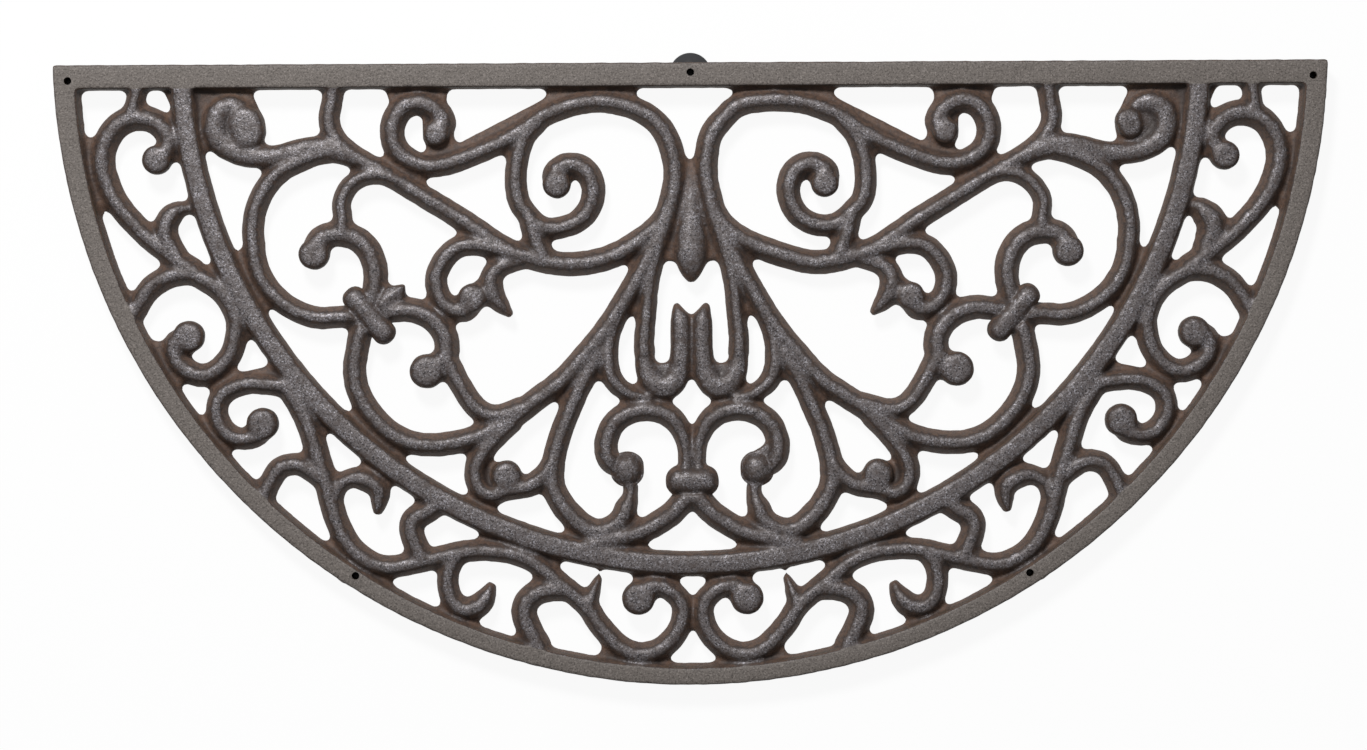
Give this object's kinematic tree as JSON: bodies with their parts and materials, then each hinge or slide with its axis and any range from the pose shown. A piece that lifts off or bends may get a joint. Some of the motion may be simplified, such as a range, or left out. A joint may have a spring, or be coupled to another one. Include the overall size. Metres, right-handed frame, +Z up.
{
  "type": "door mat",
  "caption": "Half-round cast iron door mat: open scrollwork inside a flat frame band, on push-in rubber feet.",
  "frame": {"origin": "on the floor under the middle of the mat's outer box", "axes": "+X to the right along the straight edge, +Y towards the straight edge at the door, +Z up"},
  "size_m": [0.7498, 0.3726, 0.0204],
  "materials": {
    "iron": "sand-cast, dark brown patina with grey crowns",
    "foot_rubber": "matte black"
  },
  "bodies": {
    "root": {"casting": "iron", "foot_back": "foot_rubber", "foot_back_left": "foot_rubber", "foot_back_right": "foot_rubber", "foot_front_left": "foot_rubber", "foot_front_right": "foot_rubber"}
  },
  "joints": []
}
